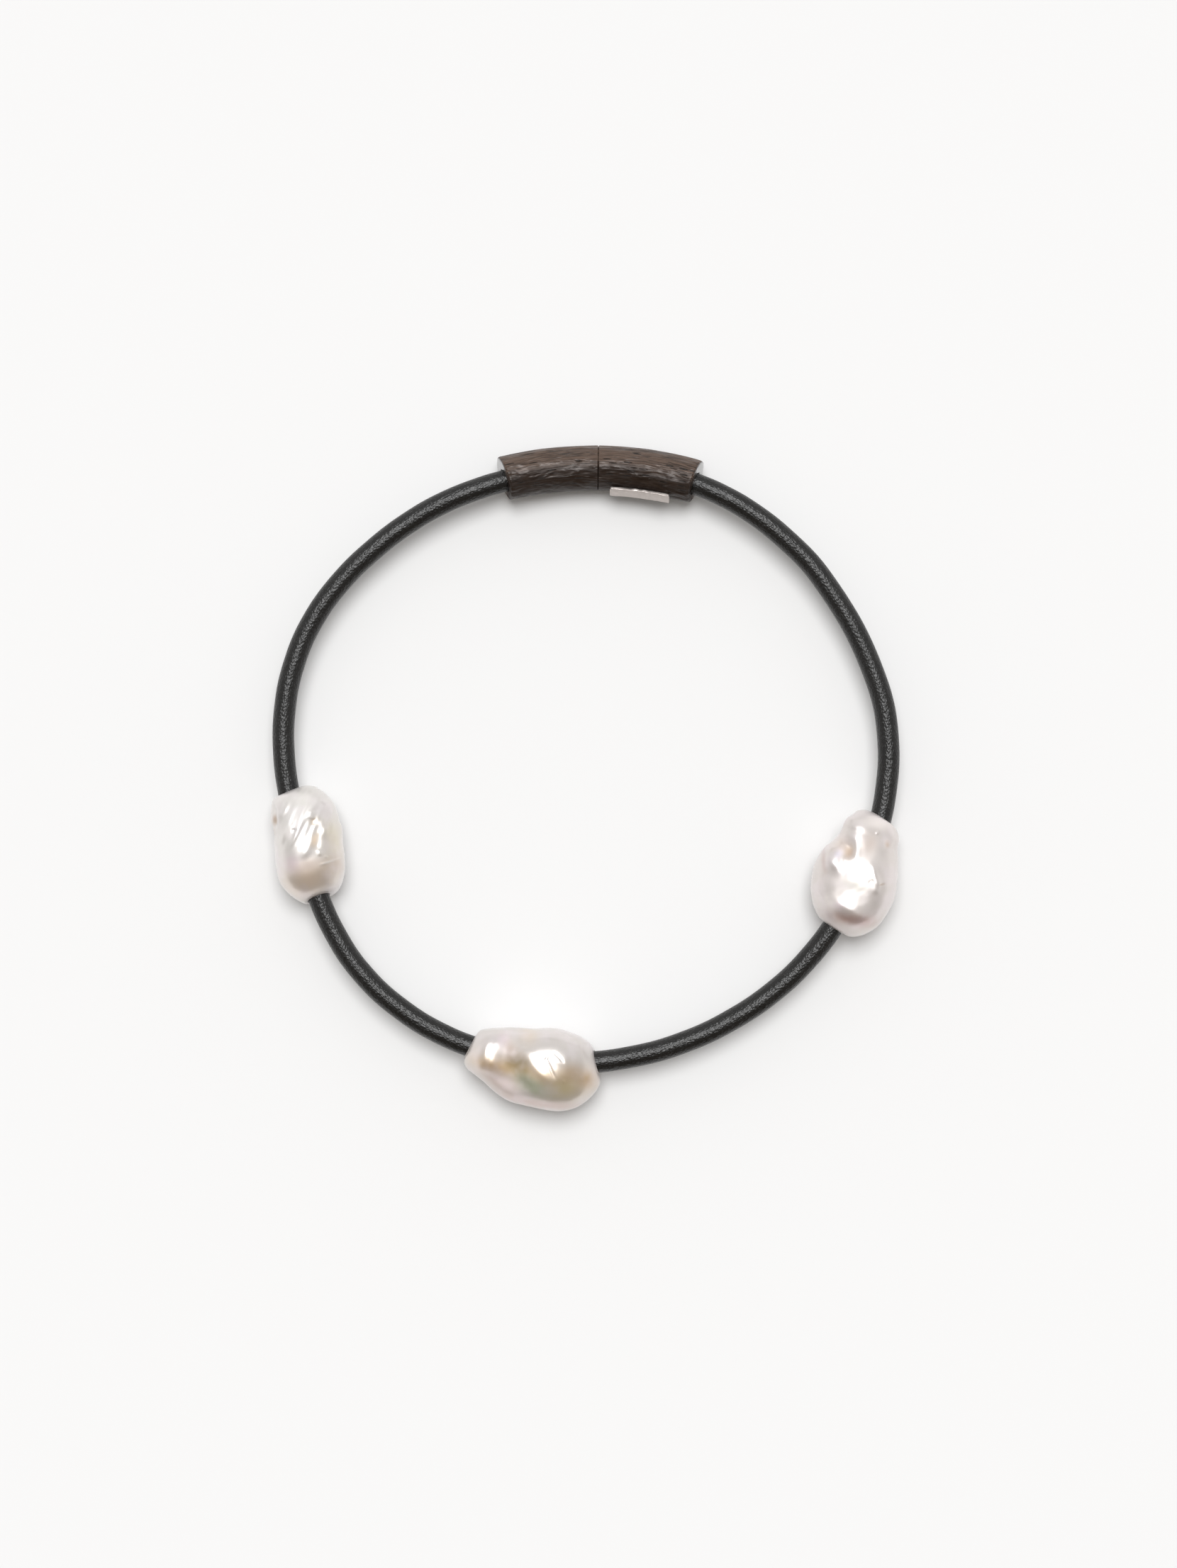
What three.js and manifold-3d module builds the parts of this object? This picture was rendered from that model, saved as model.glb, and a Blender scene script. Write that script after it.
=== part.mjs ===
// A pearl necklace on a leather cord.
//
// One round leather cord, bent into a ring, carries three baroque pearls and
// ends in the two halves of a curved wooden clasp, which has a bare silver
// plate on its concave side.
//
// Millimetres, +Z up. The necklace lies closed on the plane z = 0, with its
// clasp towards +Y. The origin is under the middle of its bounding box.

import * as THREE from "three";
import { mergeVertices } from "three/addons/utils/BufferGeometryUtils.js";
import Module from "manifold-3d";

const wasm = await Module();
wasm.setup();

// ---------------------------------------------------------------- dimensions

// The middle of the cord's ring, seen from the origin.
const RING_MIDDLE = new THREE.Vector3(0.5, 2.0, 0);

const CORD = {
  radius: 2.6,
  sides: 10,
  steps: 80,
  // what the cord's ends leave free at the bottom of their sockets
  endGap: 0.4,
};

// The cord's middle line from the bottom of the left socket to the bottom of
// the right one, anticlockwise seen from above. angle: degrees about the
// ring's middle, 0 at +X. radius: from the ring's middle. height: above the
// surface that the necklace lies on.
const ROUTE = [
  { angle: 98.9, radius: 72.2, height: 5.8 },
  { angle: 102.4, radius: 71.7, height: 6.7 },
  { angle: 105.9, radius: 71.4, height: 7.5 },
  { angle: 110.0, radius: 71.5, height: 8.2 },
  { angle: 118.0, radius: 71.9, height: 8.7 },
  { angle: 126.0, radius: 72.3, height: 8.8 },
  { angle: 134.0, radius: 72.8, height: 8.8 },
  { angle: 142.0, radius: 73.5, height: 8.8 },
  { angle: 151.0, radius: 74.1, height: 8.8 },
  { angle: 160.0, radius: 74.0, height: 8.8 },
  { angle: 169.0, radius: 73.2, height: 8.8 },
  { angle: 178.0, radius: 72.0, height: 8.8 },
  { angle: 186.0, radius: 70.9, height: 8.8 },
  { angle: 195.0, radius: 70.4, height: 8.8 },
  { angle: 204.0, radius: 70.6, height: 8.8 },
  { angle: 213.0, radius: 71.5, height: 8.7 },
  { angle: 222.0, radius: 72.2, height: 8.7 },
  { angle: 232.0, radius: 72.2, height: 8.7 },
  { angle: 242.0, radius: 71.8, height: 8.8 },
  { angle: 251.0, radius: 71.1, height: 8.9 },
  { angle: 260.0, radius: 70.5, height: 9.0 },
  { angle: 269.0, radius: 69.8, height: 9.0 },
  { angle: 279.0, radius: 69.2, height: 8.9 },
  { angle: 289.0, radius: 68.9, height: 8.8 },
  { angle: 300.0, radius: 68.8, height: 8.8 },
  { angle: 311.0, radius: 69.0, height: 8.9 },
  { angle: 320.0, radius: 69.2, height: 9.0 },
  { angle: 329.0, radius: 69.4, height: 9.2 },
  { angle: 338.0, radius: 69.8, height: 9.2 },
  { angle: 347.0, radius: 70.4, height: 9.2 },
  { angle: 356.0, radius: 71.2, height: 9.0 },
  { angle: 366.0, radius: 71.9, height: 8.8 },
  { angle: 377.0, radius: 71.9, height: 8.8 },
  { angle: 399.0, radius: 71.9, height: 8.8 },
  { angle: 409.0, radius: 72.2, height: 8.7 },
  { angle: 418.0, radius: 72.5, height: 8.6 },
  { angle: 424.0, radius: 72.6, height: 8.3 },
  { angle: 429.3, radius: 72.6, height: 7.7 },
  { angle: 432.8, radius: 72.6, height: 6.8 },
  { angle: 436.2, radius: 73.0, height: 5.9 },
];

// The holes that the cord runs through or ends in.
const BORE = {
  // between the cord and the wall
  gap: 0.4,
  sides: 16,
  // how far a hole is cut past both ends of a pearl
  overrun: 4,
};

// A pearl's skin is a row of rings along the cord.
// along: from the pearl's middle, in the cord's direction.
// inner, outer: half widths towards the ring's middle and away from it.
// over, under: half heights above and below the cord's middle line.
// lean: how far the ring runs ahead per millimetre outwards.
// rake: how far it runs ahead per millimetre upwards.
const PEARLS = [
  {
    name: "pearl_left",
    angle: 195,
    rows: [
      { along: -13.1, inner: 4.2, outer: 3.6, over: 3.9, under: 4.1, lean: 0.2, rake: 0 },
      { along: -12.3, inner: 6.7, outer: 4.1, over: 5.2, under: 5.5, lean: 0.1, rake: 0 },
      { along: -10.7, inner: 8.8, outer: 4.6, over: 6.6, under: 6.9, lean: 0, rake: 0 },
      { along: -8.0, inner: 10.1, outer: 5.3, over: 7.6, under: 8.0, lean: 0, rake: 0 },
      { along: -4.5, inner: 10.5, outer: 5.3, over: 8.1, under: 8.5, lean: 0, rake: 0 },
      { along: -1.0, inner: 10.4, outer: 6.1, over: 8.2, under: 8.7, lean: 0, rake: 0 },
      { along: 2.5, inner: 9.8, outer: 6.9, over: 8.2, under: 8.7, lean: 0, rake: 0 },
      { along: 6.0, inner: 9.1, outer: 7.4, over: 7.8, under: 8.3, lean: 0, rake: 0 },
      { along: 8.8, inner: 8.3, outer: 6.7, over: 6.9, under: 7.4, lean: 0, rake: -0.04 },
      { along: 11.0, inner: 7.0, outer: 5.5, over: 5.7, under: 6.2, lean: 0, rake: -0.1 },
      { along: 12.4, inner: 5.7, outer: 4.4, over: 4.6, under: 5.0, lean: 0, rake: -0.18 },
      { along: 13.0, inner: 4.4, outer: 3.7, over: 3.7, under: 4.0, lean: 0, rake: -0.25 },
    ],
    dents: [
      { along: -7.4, around: 36, length: 2.4, width: 1.2, slant: 0, depth: 0.9 },
      { along: -3.0, around: 75, length: 6.0, width: 1.3, slant: 24, depth: 0.5 },
    ],
  },
  {
    name: "pearl_front",
    angle: 260,
    rows: [
      { along: -15.7, inner: 3.8, outer: 3.8, over: 3.7, under: 3.9, lean: -0.14, rake: 0 },
      { along: -14.8, inner: 4.6, outer: 5.2, over: 5.1, under: 5.4, lean: -0.08, rake: 0 },
      { along: -13.0, inner: 5.3, outer: 6.2, over: 6.5, under: 6.7, lean: 0, rake: 0 },
      { along: -10.5, inner: 6.2, outer: 7.3, over: 7.3, under: 7.6, lean: 0, rake: 0 },
      { along: -7.5, inner: 7.0, outer: 9.0, over: 7.1, under: 8.0, lean: 0, rake: 0 },
      { along: -4.5, inner: 7.4, outer: 10.3, over: 7.6, under: 8.4, lean: 0, rake: 0 },
      { along: -1.5, inner: 7.6, outer: 10.7, over: 8.7, under: 8.8, lean: 0, rake: 0 },
      { along: 2.0, inner: 8.2, outer: 11.1, over: 9.2, under: 8.9, lean: 0, rake: 0 },
      { along: 5.5, inner: 8.1, outer: 11.4, over: 9.1, under: 8.8, lean: 0, rake: 0 },
      { along: 8.5, inner: 7.3, outer: 10.9, over: 8.3, under: 8.1, lean: 0, rake: 0 },
      { along: 11.2, inner: 6.2, outer: 9.4, over: 7.0, under: 7.0, lean: 0.02, rake: 0 },
      { along: 13.3, inner: 4.8, outer: 7.0, over: 5.3, under: 5.6, lean: 0.08, rake: -0.06 },
      { along: 14.3, inner: 3.8, outer: 4.6, over: 3.8, under: 4.1, lean: 0.16, rake: -0.12 },
    ],
    dents: [
      { along: -6.6, around: 62, length: 8.0, width: 2.2, slant: -20, depth: 0.9 },
      { along: 5.6, around: 96, length: 3.4, width: 0.9, slant: 60, depth: 0.35 },
    ],
  },
  {
    name: "pearl_right",
    angle: 338,
    rows: [
      { along: -12.9, inner: 3.9, outer: 4.2, over: 3.9, under: 4.2, lean: 0, rake: 0 },
      { along: -12.1, inner: 5.4, outer: 5.7, over: 5.1, under: 5.5, lean: 0, rake: 0 },
      { along: -10.5, inner: 7.4, outer: 7.3, over: 6.6, under: 7.0, lean: 0, rake: 0 },
      { along: -7.5, inner: 9.5, outer: 8.9, over: 8.1, under: 8.4, lean: 0, rake: 0 },
      { along: -4.0, inner: 10.7, outer: 9.5, over: 8.9, under: 9.0, lean: 0, rake: 0 },
      { along: -0.5, inner: 11.2, outer: 9.4, over: 9.1, under: 9.1, lean: 0, rake: 0 },
      { along: 3.0, inner: 10.9, outer: 8.4, over: 8.7, under: 8.9, lean: 0, rake: 0 },
      { along: 6.5, inner: 9.4, outer: 7.1, over: 7.8, under: 8.2, lean: 0, rake: 0 },
      { along: 9.5, inner: 8.2, outer: 5.9, over: 6.9, under: 7.2, lean: -0.02, rake: 0 },
      { along: 12.2, inner: 7.4, outer: 5.5, over: 6.0, under: 6.2, lean: -0.08, rake: 0 },
      { along: 14.3, inner: 6.0, outer: 4.7, over: 4.9, under: 5.1, lean: -0.22, rake: 0 },
      { along: 15.3, inner: 4.0, outer: 3.7, over: 3.7, under: 3.9, lean: -0.3, rake: 0 },
    ],
    dents: [
      { along: 5.4, around: 118, length: 5.0, width: 2.2, slant: 20, depth: 0.8 },
      { along: 8.8, around: 30, length: 2.0, width: 1.4, slant: 0, depth: 0.7 },
    ],
  },
];

const PEARL = {
  sides: 28,
  rings: 24,
  // 2 gives elliptic sections, and more gives fuller ones
  fullness: 2.15,
};

// The clasp bends about its own centre in a plane that is rolled about its
// chord, so its concave side looks inwards and up.
const CLASP = {
  // the middle of the seam, seen from the ring's middle
  middle: new THREE.Vector3(2.65, 71.8, 5.4),
  // degrees from +X to the chord, and of the roll about it
  turn: -0.7,
  roll: 32,
  bendRadius: 75,
  // degrees of bend from the seam to the end faces
  leftEnd: -17.4,
  rightEnd: 18.1,
  // the end faces turn further than the bend, to lie square to the cord
  faceTurn: 1.22,
  // half the wood's thickness at the seam and at the end faces
  seamRadius: 5.4,
  endRadius: 5.3,
  seamGap: 0.3,
  // the cord's stretch that the socket is cut along, longer than it is deep
  socketReach: 14,
  sides: 24,
  rings: 9,
};

// The silver plate follows the clasp's concave side, on a narrower foot.
const PLATE = {
  // its ends, from the seam
  start: 2.85,
  end: 17.3,
  // how far it faces below the direction of the clasp's hollow, in degrees
  drop: 4,
  width: 3.1,
  thickness: 0.68,
  bevel: 0.1,
  footWidth: 1.8,
  footHeight: 0.4,
  // between its foot and the wood
  gap: 0.25,
  steps: 8,
};

// The hidden pin across the clasp's seam.
const PIN = {
  radius: 1.6,
  halfLength: 4.0,
  // between it and the wood
  gap: 0.3,
  sides: 16,
};

// How finely curves are measured and searched, and how near two points are to
// count as one.
const ROUTE_DIVISIONS = 2000;
const SEARCH_STEPS = 40;
const MERGE_DISTANCE = 1e-4;

// ----------------------------------------------------------------- materials

const MATERIALS = {
  leather: new THREE.MeshStandardMaterial({ color: 0x151413, roughness: 0.55, metalness: 0 }),
  pearl: new THREE.MeshStandardMaterial({ color: 0xe6dcd2, roughness: 0.22, metalness: 0 }),
  wood: new THREE.MeshStandardMaterial({ color: 0x3b2f29, roughness: 0.5, metalness: 0 }),
  silver: new THREE.MeshStandardMaterial({ color: 0xb9b0aa, roughness: 0.35, metalness: 1 }),
};

// ------------------------------------------------------------------- helpers

const UP = new THREE.Vector3(0, 0, 1);
const radians = THREE.MathUtils.degToRad;

// A closed skin over a row of rings that have the same number of points, all
// anticlockwise seen against the row's direction, with a flat fan on each end.
function skin(rings) {
  const count = rings[0].length;
  const points = rings.flat();
  const triangles = [];
  for (let i = 0; i + 1 < rings.length; i += 1) {
    for (let j = 0; j < count; j += 1) {
      const a = i * count + j;
      const b = i * count + ((j + 1) % count);
      triangles.push(a, b, b + count, a, b + count, a + count);
    }
  }
  const first = points.length;
  const last = first + 1;
  points.push(middleOf(rings[0]), middleOf(rings.at(-1)));
  const lastRing = (rings.length - 1) * count;
  for (let j = 0; j < count; j += 1) {
    const next = (j + 1) % count;
    triangles.push(first, next, j);
    triangles.push(last, lastRing + j, lastRing + next);
  }
  const geometry = new THREE.BufferGeometry().setFromPoints(points);
  geometry.setIndex(triangles);
  return geometry;
}

function middleOf(ring) {
  const sum = new THREE.Vector3();
  for (const point of ring) {
    sum.add(point);
  }
  return sum.divideScalar(ring.length);
}

// A manifold solid made from a closed geometry.
function solidOf(geometry) {
  const bare = geometry.clone();
  bare.deleteAttribute("normal");
  bare.deleteAttribute("uv");
  const merged = mergeVertices(bare, MERGE_DISTANCE);
  return new wasm.Manifold(
    new wasm.Mesh({
      numProp: 3,
      vertProperties: Float32Array.from(merged.attributes.position.array),
      triVerts: Uint32Array.from(merged.index.array),
    }),
  );
}

function geometryOf(solid) {
  const mesh = solid.getMesh();
  const geometry = new THREE.BufferGeometry();
  geometry.setAttribute("position", new THREE.BufferAttribute(mesh.vertProperties, 3));
  geometry.setIndex(new THREE.BufferAttribute(mesh.triVerts, 1));
  return geometry;
}

function cut(geometry, ...tools) {
  let solid = solidOf(geometry);
  for (const tool of tools) {
    solid = solid.subtract(solidOf(tool));
  }
  return geometryOf(solid);
}

// The stretch of a curve between two shares of its length.
class Stretch extends THREE.Curve {
  constructor(curve, from, to) {
    super();
    this.curve = curve;
    this.from = from;
    this.to = to;
  }

  getPoint(t, target = new THREE.Vector3()) {
    return this.curve.getPointAt(THREE.MathUtils.lerp(this.from, this.to, t), target);
  }
}

// A round bar along a curve.
function bar(path, radius, sides, steps) {
  const section = new THREE.Shape();
  for (let i = 0; i < sides; i += 1) {
    const angle = (2 * Math.PI * i) / sides;
    const x = radius * Math.cos(angle);
    const y = radius * Math.sin(angle);
    if (i === 0) {
      section.moveTo(x, y);
    } else {
      section.lineTo(x, y);
    }
  }
  section.closePath();
  return new THREE.ExtrudeGeometry(section, { steps, curveSegments: 1, extrudePath: path });
}

// ------------------------------------------------------------ the cord's line

const route = new THREE.CatmullRomCurve3(
  ROUTE.map(({ angle, radius, height }) =>
    new THREE.Vector3(radius * Math.cos(radians(angle)), radius * Math.sin(radians(angle)), height)
      .add(RING_MIDDLE),
  ),
  false,
  "centripetal",
);
route.arcLengthDivisions = ROUTE_DIVISIONS;
const routeLength = route.getLength();

// How far along the route it passes an angle about the ring's middle.
function distanceAt(angle) {
  const wanted = THREE.MathUtils.euclideanModulo(angle - ROUTE[0].angle, 360);
  let low = 0;
  let high = 1;
  for (let i = 0; i < SEARCH_STEPS; i += 1) {
    const middle = (low + high) / 2;
    const point = route.getPointAt(middle).sub(RING_MIDDLE);
    const here = THREE.MathUtils.radToDeg(Math.atan2(point.y, point.x));
    if (THREE.MathUtils.euclideanModulo(here - ROUTE[0].angle, 360) < wanted) {
      low = middle;
    } else {
      high = middle;
    }
  }
  return low * routeLength;
}

// The point at a distance along the route, then outwards and up from it.
function beside(distance, out, up) {
  const share = distance / routeLength;
  const outwards = route.getTangentAt(share).cross(UP).normalize();
  return route.getPointAt(share).addScaledVector(outwards, out).addScaledVector(UP, up);
}

function makeCord() {
  const spare = CORD.endGap / routeLength;
  return bar(new Stretch(route, spare, 1 - spare), CORD.radius, CORD.sides, CORD.steps);
}

// What a bore or socket takes out between two distances along the route.
function makeBore(from, to) {
  const path = new Stretch(route, from / routeLength, to / routeLength);
  const steps = Math.ceil((to - from) / (2 * CORD.radius));
  return bar(path, CORD.radius + BORE.gap, BORE.sides, steps);
}

// -------------------------------------------------------------------- pearls

// Rows of a table read as smooth curves, at an even number of places.
function smoothRows(rows, count) {
  const columns = Object.keys(rows[0]);
  const curve = new THREE.CubicInterpolant(
    rows.map((row, index) => index),
    rows.flatMap((row) => columns.map((column) => row[column])),
    columns.length,
  );
  const places = Array.from({ length: count }, (_, i) => (i * (rows.length - 1)) / (count - 1));
  return places.map((place) => {
    const values = curve.evaluate(place);
    return Object.fromEntries(columns.map((column, i) => [column, values[i]]));
  });
}

// One quarter of a section's outline: the share of its half width or height.
function quarter(value) {
  return Math.sign(value) * Math.abs(value) ** (2 / PEARL.fullness);
}

// How deep the dents are at a place on the skin. around: degrees, 0 outwards
// and 90 up.
function dentDepth(dents, along, around, radius) {
  let depth = 0;
  for (const dent of dents) {
    const ahead = along - dent.along;
    const aside = radians(around - dent.around) * radius;
    const turn = radians(dent.slant);
    const lengthwise = ahead * Math.cos(turn) + aside * Math.sin(turn);
    const crosswise = aside * Math.cos(turn) - ahead * Math.sin(turn);
    const spread = (lengthwise / dent.length) ** 2 + (crosswise / dent.width) ** 2;
    depth += dent.depth * Math.exp(-spread);
  }
  return depth;
}

function makePearl({ angle, rows, dents }) {
  const middle = distanceAt(angle);
  const rings = smoothRows(rows, PEARL.rings).map((row) => {
    const ring = [];
    for (let i = 0; i < PEARL.sides; i += 1) {
      const turn = (-2 * Math.PI * i) / PEARL.sides;
      const width = Math.cos(turn) > 0 ? row.outer : row.inner;
      const height = Math.sin(turn) > 0 ? row.over : row.under;
      const out = quarter(Math.cos(turn)) * width;
      const up = quarter(Math.sin(turn)) * height;
      const radius = Math.hypot(out, up);
      const around = THREE.MathUtils.radToDeg(Math.atan2(up, out));
      const keep = 1 - dentDepth(dents, row.along, around, radius) / radius;
      const ahead = row.along + row.lean * out + row.rake * up;
      ring.push(beside(middle + ahead, out * keep, up * keep));
    }
    return ring;
  });
  const from = middle + rows[0].along - BORE.overrun;
  const to = middle + rows.at(-1).along + BORE.overrun;
  return cut(skin(rings), makeBore(from, to));
}

// --------------------------------------------------------------------- clasp

const chord = new THREE.Vector3(Math.cos(radians(CLASP.turn)), Math.sin(radians(CLASP.turn)), 0);
const inwards = new THREE.Vector3().crossVectors(chord, UP).normalize();
// from the bend towards its centre
const concave = inwards
  .clone()
  .multiplyScalar(Math.cos(radians(CLASP.roll)))
  .addScaledVector(UP, Math.sin(radians(CLASP.roll)));
const claspMiddle = CLASP.middle.clone().add(RING_MIDDLE);

// A point of the clasp. bend: degrees from the seam. face: degrees that its
// section is turned. toConcave and across: its place in that section.
function claspPoint(bend, face, toConcave, across) {
  const binormal = new THREE.Vector3().crossVectors(chord, concave);
  const sideways = chord
    .clone()
    .multiplyScalar(-Math.sin(radians(face)))
    .addScaledVector(concave, Math.cos(radians(face)));
  return claspMiddle
    .clone()
    .addScaledVector(chord, CLASP.bendRadius * Math.sin(radians(bend)))
    .addScaledVector(concave, CLASP.bendRadius * (1 - Math.cos(radians(bend))))
    .addScaledVector(sideways, toConcave)
    .addScaledVector(binormal, across);
}

// The wood's radius at a share of the way from the seam to an end face.
function woodRadius(share) {
  return THREE.MathUtils.lerp(CLASP.seamRadius, CLASP.endRadius, share ** 2);
}

// The half of the clasp from the seam to the end face at that bend.
function makeClaspHalf(end) {
  const side = Math.sign(end);
  const seam = (side * THREE.MathUtils.radToDeg(CLASP.seamGap)) / 2 / CLASP.bendRadius;
  const rings = [];
  for (let i = 0; i < CLASP.rings; i += 1) {
    const share = i / (CLASP.rings - 1);
    const bend = THREE.MathUtils.lerp(seam, end, share);
    const radius = woodRadius(share);
    const ring = [];
    for (let j = 0; j < CLASP.sides; j += 1) {
      const turn = (2 * Math.PI * j) / CLASP.sides;
      const toConcave = radius * Math.cos(turn);
      const across = side * radius * Math.sin(turn);
      ring.push(claspPoint(bend, bend * CLASP.faceTurn, toConcave, across));
    }
    rings.push(ring);
  }
  const socket = side < 0
    ? makeBore(0, CLASP.socketReach)
    : makeBore(routeLength - CLASP.socketReach, routeLength);
  return cut(skin(rings), socket, makePin(PIN.gap));
}

// The pin across the seam, or with spare room the hole for it.
function makePin(spare) {
  const length = 2 * (PIN.halfLength + spare);
  const geometry = new THREE.CylinderGeometry(
    PIN.radius + spare,
    PIN.radius + spare,
    length,
    PIN.sides,
  );
  const turn = new THREE.Quaternion().setFromUnitVectors(new THREE.Vector3(0, 1, 0), chord);
  return geometry.applyQuaternion(turn).translate(...claspMiddle.toArray());
}

// A flat bar bent along the concave side, with bevelled front edges and a foot
// along its back.
function makePlate() {
  const { start, end, drop, width, thickness, bevel, footWidth, footHeight, gap, steps } = PLATE;
  const side = width / 2;
  const foot = footWidth / 2;
  const front = footHeight + thickness;
  const section = [
    { height: 0, across: foot },
    { height: 0, across: -foot },
    { height: footHeight, across: -foot },
    { height: footHeight, across: -side },
    { height: front - bevel, across: -side },
    { height: front, across: bevel - side },
    { height: front, across: side - bevel },
    { height: front - bevel, across: side },
    { height: footHeight, across: side },
    { height: footHeight, across: foot },
  ];
  const plateRadius = CLASP.bendRadius - CLASP.seamRadius - gap;
  const sine = Math.sin(radians(drop));
  const cosine = Math.cos(radians(drop));
  const rings = [];
  for (let i = 0; i <= steps; i += 1) {
    const distance = THREE.MathUtils.lerp(start, end, i / steps);
    const bend = THREE.MathUtils.radToDeg(distance / plateRadius);
    const back = woodRadius(bend / CLASP.rightEnd) + gap;
    rings.push(
      section.map(({ height, across }) =>
        claspPoint(
          bend,
          bend,
          (back + height) * cosine - across * sine,
          (back + height) * sine + across * cosine,
        ),
      ),
    );
  }
  return skin(rings);
}

// ------------------------------------------------------------------ assembly

const necklace = new THREE.Group();

function add(name, geometry, material) {
  const mesh = new THREE.Mesh(geometry, material);
  mesh.name = name;
  necklace.add(mesh);
}

add("leather_cord", makeCord(), MATERIALS.leather);
for (const pearl of PEARLS) {
  add(pearl.name, makePearl(pearl), MATERIALS.pearl);
}
add("clasp_left", makeClaspHalf(CLASP.leftEnd), MATERIALS.wood);
add("clasp_right", makeClaspHalf(CLASP.rightEnd), MATERIALS.wood);
add("clasp_pin", makePin(0), MATERIALS.silver);
add("tag_plate", makePlate(), MATERIALS.silver);

export default necklace;
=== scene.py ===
# %% [markdown]
# # A pearl necklace on a leather cord
#
# A round black leather cord runs through three baroque pearls and ends in the
# two halves of a curved wooden clasp. The plain solids of that necklace are
# loaded first, as a frame that fixes every size and place. Then each piece that
# shows is made again with a finer surface. It is shaped as if it were straight,
# where it is easy to think about, and is bent into the ring at the end.

# %% Setup
import math

import bmesh
import bpy
import numpy as np
from mathutils import Matrix, Vector, noise


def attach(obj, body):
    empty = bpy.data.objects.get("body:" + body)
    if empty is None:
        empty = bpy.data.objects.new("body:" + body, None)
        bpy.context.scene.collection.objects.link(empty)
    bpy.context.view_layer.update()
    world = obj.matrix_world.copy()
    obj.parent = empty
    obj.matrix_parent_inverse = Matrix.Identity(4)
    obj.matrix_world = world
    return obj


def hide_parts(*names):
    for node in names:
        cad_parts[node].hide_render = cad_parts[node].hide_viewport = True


MM = 0.001
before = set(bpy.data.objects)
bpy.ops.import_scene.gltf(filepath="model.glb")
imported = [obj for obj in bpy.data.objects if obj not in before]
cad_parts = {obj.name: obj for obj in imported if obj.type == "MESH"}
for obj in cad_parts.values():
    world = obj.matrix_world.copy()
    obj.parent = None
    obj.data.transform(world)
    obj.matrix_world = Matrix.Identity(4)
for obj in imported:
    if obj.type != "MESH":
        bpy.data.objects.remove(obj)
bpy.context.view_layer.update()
scene = bpy.context.scene

# %% [markdown]
# ## The camera
#
# A necklace that lies on a table is best seen from straight above. A long lens
# from a metre away keeps the ring free of distortion.

# %% Camera
# metres, and millimetres of focal length
CAMERA_PLACE = (0.000837, -0.001538, 1.0)
LENS = 95.73


def add_camera(place, lens):
    data = bpy.data.cameras.new("camera")
    data.lens = lens
    data.clip_end = 20
    camera = bpy.data.objects.new("camera", data)
    camera.location = place
    scene.collection.objects.link(camera)
    return camera


scene.camera = add_camera(CAMERA_PLACE, LENS)
print("the camera looks down from", round(scene.camera.location.z, 2), "m")

# %% [markdown]
# ## The cord's line
#
# The leather is stiff enough to keep a ring, but never a perfect one. Its line
# is a table of angle, radius and height, read round the middle of the ring. A
# Bezier curve with automatic handles turns the table into one smooth line, and
# even steps along it give a ruler that other pieces can use.

# %% Cord's line
RING_MIDDLE = np.array((0.5, 2.0, 0.0))

# degrees from +X, millimetres from the ring's middle, and above the table
ROUTE = [
    (98.9, 72.2, 5.8), (102.4, 71.7, 6.7), (105.9, 71.4, 7.5), (110, 71.5, 8.2),
    (118, 71.9, 8.7), (126, 72.3, 8.8), (134, 72.8, 8.8), (142, 73.5, 8.8),
    (151, 74.1, 8.8), (160, 74.0, 8.8), (169, 73.2, 8.8), (178, 72.0, 8.8),
    (186, 70.9, 8.8), (195, 70.4, 8.8), (204, 70.6, 8.8), (213, 71.5, 8.7),
    (222, 72.2, 8.7), (232, 72.2, 8.7), (242, 71.8, 8.8), (251, 71.1, 8.9),
    (260, 70.5, 9.0), (269, 69.8, 9.0), (279, 69.2, 8.9), (289, 68.9, 8.8),
    (300, 68.8, 8.8), (311, 69.0, 8.9), (320, 69.2, 9.0), (329, 69.4, 9.2),
    (338, 69.8, 9.2), (347, 70.4, 9.2), (356, 71.2, 9.0), (366, 71.9, 8.8),
    (377, 71.9, 8.8), (399, 71.9, 8.8), (409, 72.2, 8.7), (418, 72.5, 8.6),
    (424, 72.6, 8.3), (429.3, 72.6, 7.7), (432.8, 72.6, 6.8), (436.2, 73.0, 5.9),
]


def smooth_line(knots, step):
    """Points at even steps on a smooth curve through the knots."""
    curve = bpy.data.curves.new("line", "CURVE")
    curve.dimensions = "3D"
    curve.resolution_u = 40
    spline = curve.splines.new("BEZIER")
    spline.bezier_points.add(len(knots) - 1)
    for point, knot in zip(spline.bezier_points, knots):
        point.co = knot
        point.handle_left_type = point.handle_right_type = "AUTO"
    holder = bpy.data.objects.new("line", curve)
    fine = np.array([vertex.co for vertex in holder.to_mesh().vertices])
    holder.to_mesh_clear()
    bpy.data.objects.remove(holder)
    bpy.data.curves.remove(curve)
    ruler = np.concatenate([[0], np.cumsum(np.linalg.norm(np.diff(fine, axis=0), axis=1))])
    even = np.linspace(0, ruler[-1], round(ruler[-1] / step) + 1)
    return np.stack([np.interp(even, ruler, fine[:, axis]) for axis in range(3)], axis=1)


def ring_point(angle, radius, height):
    turn = math.radians(angle)
    return RING_MIDDLE + (radius * math.cos(turn), radius * math.sin(turn), height)


line = smooth_line([ring_point(*row) for row in ROUTE], step=0.4)
line_steps = np.linalg.norm(np.diff(line, axis=0), axis=1)
line_ruler = np.concatenate([[0], np.cumsum(line_steps)])
line_length = line_ruler[-1]
print("the cord's line is", round(line_length, 1), "mm long")

# %% [markdown]
# ## Bending
#
# A straight shape has three coordinates: along the cord, outwards from the
# ring, and up. Bending it moves each vertex to that place beside the line.

# %% Bending onto the line
def along_line(values, distances):
    columns = [np.interp(distances, line_ruler, values[:, axis]) for axis in range(3)]
    return np.stack(columns, axis=1)


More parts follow.
